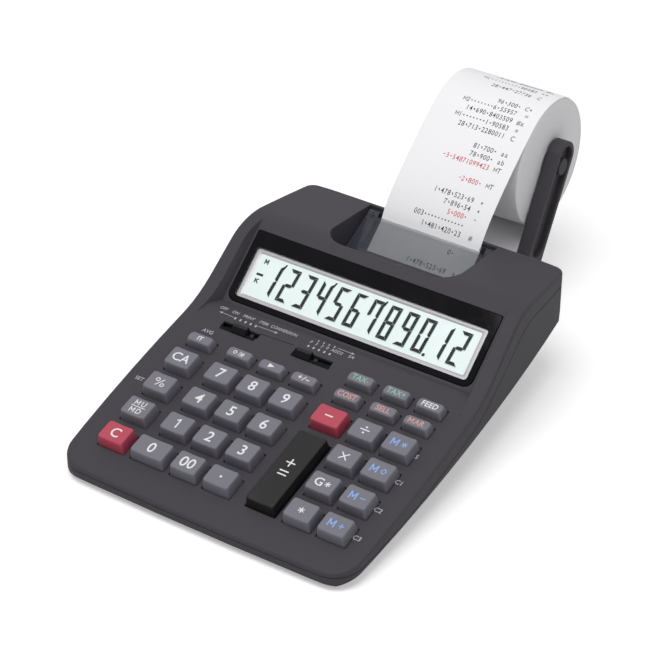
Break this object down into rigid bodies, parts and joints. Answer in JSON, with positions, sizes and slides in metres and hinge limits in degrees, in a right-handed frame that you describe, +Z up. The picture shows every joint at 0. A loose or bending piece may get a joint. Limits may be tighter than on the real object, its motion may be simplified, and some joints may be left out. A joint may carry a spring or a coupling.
{
  "type": "printing desk calculator",
  "caption": "Wedge-shaped desk calculator with sprung keys, sloping display, sliding switches, small line printer under a smoky cover and a paper roll on a folding holder.",
  "frame": {"origin": "on the table, at the centre of the case's footprint", "axes": "+X to the user's right, +Y from the front edge towards the paper roll, +Z up"},
  "size_m": [0.165, 0.304, 0.1065],
  "materials": {
    "case": "fine matte texture",
    "lens": "polished",
    "lcd": "satin silver frame",
    "rubber": "moulded",
    "board": "satin",
    "knob": "satin",
    "smoke": "clear smoke",
    "frame": "satin",
    "drum": "satin",
    "ink": "felt",
    "steel": "bright",
    "paper": "uncoated paper",
    "cell": "sleeved",
    "key_grey": "satin",
    "key_red": "satin",
    "key_black": "polished"
  },
  "bodies": {
    "case": {"upper_case": "case", "lower_case": "case", "display_lens": "lens", "lcd_module": "lcd", "key_mat": "rubber", "main_board": "board", "printer_frame": "frame", "feed_motor": "steel", "paper_tape": "paper", "batteries": "cell", "battery_contacts": "steel", "rubber_feet": "rubber", "case_screws": "steel", "dc_jack": "frame"},
    "cover": {"printer_cover": "smoke"},
    "holder": {"roll_holder": "case", "supply_web": "paper"},
    "roll": {"paper_roll": "paper"},
    "door": {"battery_door": "case"},
    "platen": {"platen_roller": "rubber"},
    "drum": {"print_drum": "drum"},
    "inker": {"ink_roller": "ink"},
    "power_knob": {"power_switch_knob": "knob"},
    "rounding_knob": {"rounding_switch_knob": "knob"},
    "key_clear_cap": {"key_clear": "key_red"},
    "key_markup_cap": {"key_markup": "key_grey"},
    "key_percent_cap": {"key_percent": "key_grey"},
    "key_recall_cap": {"key_recall": "key_grey"},
    "key_item_cap": {"key_item": "key_grey"},
    "key_0_cap": {"key_0": "key_grey"},
    "key_00_cap": {"key_00": "key_grey"},
    "key_point_cap": {"key_point": "key_grey"},
    "key_1_cap": {"key_1": "key_grey"},
    "key_2_cap": {"key_2": "key_grey"},
    "key_3_cap": {"key_3": "key_grey"},
    "key_4_cap": {"key_4": "key_grey"},
    "key_5_cap": {"key_5": "key_grey"},
    "key_6_cap": {"key_6": "key_grey"},
    "key_7_cap": {"key_7": "key_grey"},
    "key_8_cap": {"key_8": "key_grey"},
    "key_9_cap": {"key_9": "key_grey"},
    "key_nonadd_cap": {"key_nonadd": "key_grey"},
    "key_backspace_cap": {"key_backspace": "key_grey"},
    "key_sign_cap": {"key_sign": "key_grey"},
    "key_add_cap": {"key_add": "key_black"},
    "key_subtract_cap": {"key_subtract": "key_red"},
    "key_total_cap": {"key_total": "key_grey"},
    "key_grand_total_cap": {"key_grand_total": "key_grey"},
    "key_multiply_cap": {"key_multiply": "key_grey"},
    "key_divide_cap": {"key_divide": "key_grey"},
    "key_memory_plus_cap": {"key_memory_plus": "key_grey"},
    "key_memory_minus_cap": {"key_memory_minus": "key_grey"},
    "key_memory_subtotal_cap": {"key_memory_subtotal": "key_grey"},
    "key_memory_total_cap": {"key_memory_total": "key_grey"},
    "key_cost_cap": {"key_cost": "key_grey"},
    "key_sell_cap": {"key_sell": "key_grey"},
    "key_margin_cap": {"key_margin": "key_grey"},
    "key_tax_minus_cap": {"key_tax_minus": "key_grey"},
    "key_tax_plus_cap": {"key_tax_plus": "key_grey"},
    "key_feed_cap": {"key_feed": "key_grey"}
  },
  "joints": [
    {"name": "cover_hinge", "type": "hinge", "parent": "case", "child": "cover", "pos_m": [0, 0.0691, 0.0419], "axis": [1, 0, 0], "range_deg": [0, 75]},
    {"name": "holder_fold", "type": "hinge", "parent": "case", "child": "holder", "pos_m": [0, 0.107, 0.012], "axis": [-1, 0, 0], "range_deg": [0, 30], "deforming": ["supply_web", "paper_tape"]},
    {"name": "roll_spin", "type": "hinge", "parent": "holder", "child": "roll", "pos_m": [0, 0.167, 0.072], "axis": [1, 0, 0], "continuous": true},
    {"name": "battery_door_slide", "type": "slide", "parent": "case", "child": "door", "axis": [0, -1, 0], "range_m": [0, 0.03]},
    {"name": "platen_spin", "type": "hinge", "parent": "case", "child": "platen", "pos_m": [0, 0.0782, 0.0285], "axis": [1, 0, 0], "continuous": true},
    {"name": "drum_spin", "type": "hinge", "parent": "case", "child": "drum", "pos_m": [0, 0.0652, 0.0285], "axis": [1, 0, 0], "continuous": true},
    {"name": "ink_roller_spin", "type": "hinge", "parent": "case", "child": "inker", "pos_m": [0, 0.05723, 0.02352], "axis": [1, 0, 0], "continuous": true},
    {"name": "power_switch_slide", "type": "slide", "parent": "case", "child": "power_knob", "axis": [1, 0, 0], "range_m": [-0.006, 0.005]},
    {"name": "rounding_switch_slide", "type": "slide", "parent": "case", "child": "rounding_knob", "axis": [1, 0, 0], "range_m": [-0.0018, 0.01]},
    {"name": "key_clear_press", "type": "slide", "parent": "case", "child": "key_clear_cap", "axis": [0, 0.225, -0.9744], "range_m": [0, 0.0018], "stiffness_N_per_m": 200, "springref_m": -0.002},
    {"name": "key_markup_press", "type": "slide", "parent": "case", "child": "key_markup_cap", "axis": [0, 0.225, -0.9744], "range_m": [0, 0.0018], "stiffness_N_per_m": 200, "springref_m": -0.002},
    {"name": "key_percent_press", "type": "slide", "parent": "case", "child": "key_percent_cap", "axis": [0, 0.225, -0.9744], "range_m": [0, 0.0018], "stiffness_N_per_m": 200, "springref_m": -0.002},
    {"name": "key_recall_press", "type": "slide", "parent": "case", "child": "key_recall_cap", "axis": [0, 0.225, -0.9744], "range_m": [0, 0.0018], "stiffness_N_per_m": 200, "springref_m": -0.002},
    {"name": "key_item_press", "type": "slide", "parent": "case", "child": "key_item_cap", "axis": [0, 0.225, -0.9744], "range_m": [0, 0.0018], "stiffness_N_per_m": 200, "springref_m": -0.002},
    {"name": "key_0_press", "type": "slide", "parent": "case", "child": "key_0_cap", "axis": [0, 0.225, -0.9744], "range_m": [0, 0.0018], "stiffness_N_per_m": 200, "springref_m": -0.002},
    {"name": "key_00_press", "type": "slide", "parent": "case", "child": "key_00_cap", "axis": [0, 0.225, -0.9744], "range_m": [0, 0.0018], "stiffness_N_per_m": 200, "springref_m": -0.002},
    {"name": "key_point_press", "type": "slide", "parent": "case", "child": "key_point_cap", "axis": [0, 0.225, -0.9744], "range_m": [0, 0.0018], "stiffness_N_per_m": 200, "springref_m": -0.002},
    {"name": "key_1_press", "type": "slide", "parent": "case", "child": "key_1_cap", "axis": [0, 0.225, -0.9744], "range_m": [0, 0.0018], "stiffness_N_per_m": 200, "springref_m": -0.002},
    {"name": "key_2_press", "type": "slide", "parent": "case", "child": "key_2_cap", "axis": [0, 0.225, -0.9744], "range_m": [0, 0.0018], "stiffness_N_per_m": 200, "springref_m": -0.002},
    {"name": "key_3_press", "type": "slide", "parent": "case", "child": "key_3_cap", "axis": [0, 0.225, -0.9744], "range_m": [0, 0.0018], "stiffness_N_per_m": 200, "springref_m": -0.002},
    {"name": "key_4_press", "type": "slide", "parent": "case", "child": "key_4_cap", "axis": [0, 0.225, -0.9744], "range_m": [0, 0.0018], "stiffness_N_per_m": 200, "springref_m": -0.002},
    {"name": "key_5_press", "type": "slide", "parent": "case", "child": "key_5_cap", "axis": [0, 0.225, -0.9744], "range_m": [0, 0.0018], "stiffness_N_per_m": 200, "springref_m": -0.002},
    {"name": "key_6_press", "type": "slide", "parent": "case", "child": "key_6_cap", "axis": [0, 0.225, -0.9744], "range_m": [0, 0.0018], "stiffness_N_per_m": 200, "springref_m": -0.002},
    {"name": "key_7_press", "type": "slide", "parent": "case", "child": "key_7_cap", "axis": [0, 0.225, -0.9744], "range_m": [0, 0.0018], "stiffness_N_per_m": 200, "springref_m": -0.002},
    {"name": "key_8_press", "type": "slide", "parent": "case", "child": "key_8_cap", "axis": [0, 0.225, -0.9744], "range_m": [0, 0.0018], "stiffness_N_per_m": 200, "springref_m": -0.002},
    {"name": "key_9_press", "type": "slide", "parent": "case", "child": "key_9_cap", "axis": [0, 0.225, -0.9744], "range_m": [0, 0.0018], "stiffness_N_per_m": 200, "springref_m": -0.002},
    {"name": "key_nonadd_press", "type": "slide", "parent": "case", "child": "key_nonadd_cap", "axis": [0, 0.225, -0.9744], "range_m": [0, 0.0018], "stiffness_N_per_m": 200, "springref_m": -0.002},
    {"name": "key_backspace_press", "type": "slide", "parent": "case", "child": "key_backspace_cap", "axis": [0, 0.225, -0.9744], "range_m": [0, 0.0018], "stiffness_N_per_m": 200, "springref_m": -0.002},
    {"name": "key_sign_press", "type": "slide", "parent": "case", "child": "key_sign_cap", "axis": [0, 0.225, -0.9744], "range_m": [0, 0.0018], "stiffness_N_per_m": 200, "springref_m": -0.002},
    {"name": "key_add_press", "type": "slide", "parent": "case", "child": "key_add_cap", "axis": [0, 0.225, -0.9744], "range_m": [0, 0.0018], "stiffness_N_per_m": 200, "springref_m": -0.002},
    {"name": "key_subtract_press", "type": "slide", "parent": "case", "child": "key_subtract_cap", "axis": [0, 0.225, -0.9744], "range_m": [0, 0.0018], "stiffness_N_per_m": 200, "springref_m": -0.002},
    {"name": "key_total_press", "type": "slide", "parent": "case", "child": "key_total_cap", "axis": [0, 0.225, -0.9744], "range_m": [0, 0.0018], "stiffness_N_per_m": 200, "springref_m": -0.002},
    {"name": "key_grand_total_press", "type": "slide", "parent": "case", "child": "key_grand_total_cap", "axis": [0, 0.225, -0.9744], "range_m": [0, 0.0018], "stiffness_N_per_m": 200, "springref_m": -0.002},
    {"name": "key_multiply_press", "type": "slide", "parent": "case", "child": "key_multiply_cap", "axis": [0, 0.225, -0.9744], "range_m": [0, 0.0018], "stiffness_N_per_m": 200, "springref_m": -0.002},
    {"name": "key_divide_press", "type": "slide", "parent": "case", "child": "key_divide_cap", "axis": [0, 0.225, -0.9744], "range_m": [0, 0.0018], "stiffness_N_per_m": 200, "springref_m": -0.002},
    {"name": "key_memory_plus_press", "type": "slide", "parent": "case", "child": "key_memory_plus_cap", "axis": [0, 0.225, -0.9744], "range_m": [0, 0.0018], "stiffness_N_per_m": 200, "springref_m": -0.002},
    {"name": "key_memory_minus_press", "type": "slide", "parent": "case", "child": "key_memory_minus_cap", "axis": [0, 0.225, -0.9744], "range_m": [0, 0.0018], "stiffness_N_per_m": 200, "springref_m": -0.002},
    {"name": "key_memory_subtotal_press", "type": "slide", "parent": "case", "child": "key_memory_subtotal_cap", "axis": [0, 0.225, -0.9744], "range_m": [0, 0.0018], "stiffness_N_per_m": 200, "springref_m": -0.002},
    {"name": "key_memory_total_press", "type": "slide", "parent": "case", "child": "key_memory_total_cap", "axis": [0, 0.225, -0.9744], "range_m": [0, 0.0018], "stiffness_N_per_m": 200, "springref_m": -0.002},
    {"name": "key_cost_press", "type": "slide", "parent": "case", "child": "key_cost_cap", "axis": [0, 0.225, -0.9744], "range_m": [0, 0.0018], "stiffness_N_per_m": 200, "springref_m": -0.002},
    {"name": "key_sell_press", "type": "slide", "parent": "case", "child": "key_sell_cap", "axis": [0, 0.225, -0.9744], "range_m": [0, 0.0018], "stiffness_N_per_m": 200, "springref_m": -0.002},
    {"name": "key_margin_press", "type": "slide", "parent": "case", "child": "key_margin_cap", "axis": [0, 0.225, -0.9744], "range_m": [0, 0.0018], "stiffness_N_per_m": 200, "springref_m": -0.002},
    {"name": "key_tax_minus_press", "type": "slide", "parent": "case", "child": "key_tax_minus_cap", "axis": [0, 0.225, -0.9744], "range_m": [0, 0.0018], "stiffness_N_per_m": 200, "springref_m": -0.002},
    {"name": "key_tax_plus_press", "type": "slide", "parent": "case", "child": "key_tax_plus_cap", "axis": [0, 0.225, -0.9744], "range_m": [0, 0.0018], "stiffness_N_per_m": 200, "springref_m": -0.002},
    {"name": "key_feed_press", "type": "slide", "parent": "case", "child": "key_feed_cap", "axis": [0, 0.225, -0.9744], "range_m": [0, 0.0018], "stiffness_N_per_m": 200, "springref_m": -0.002}
  ],
  "couplings": [
    {"joint": "drum_spin", "follows": "platen_spin", "ratio": -1}
  ]
}
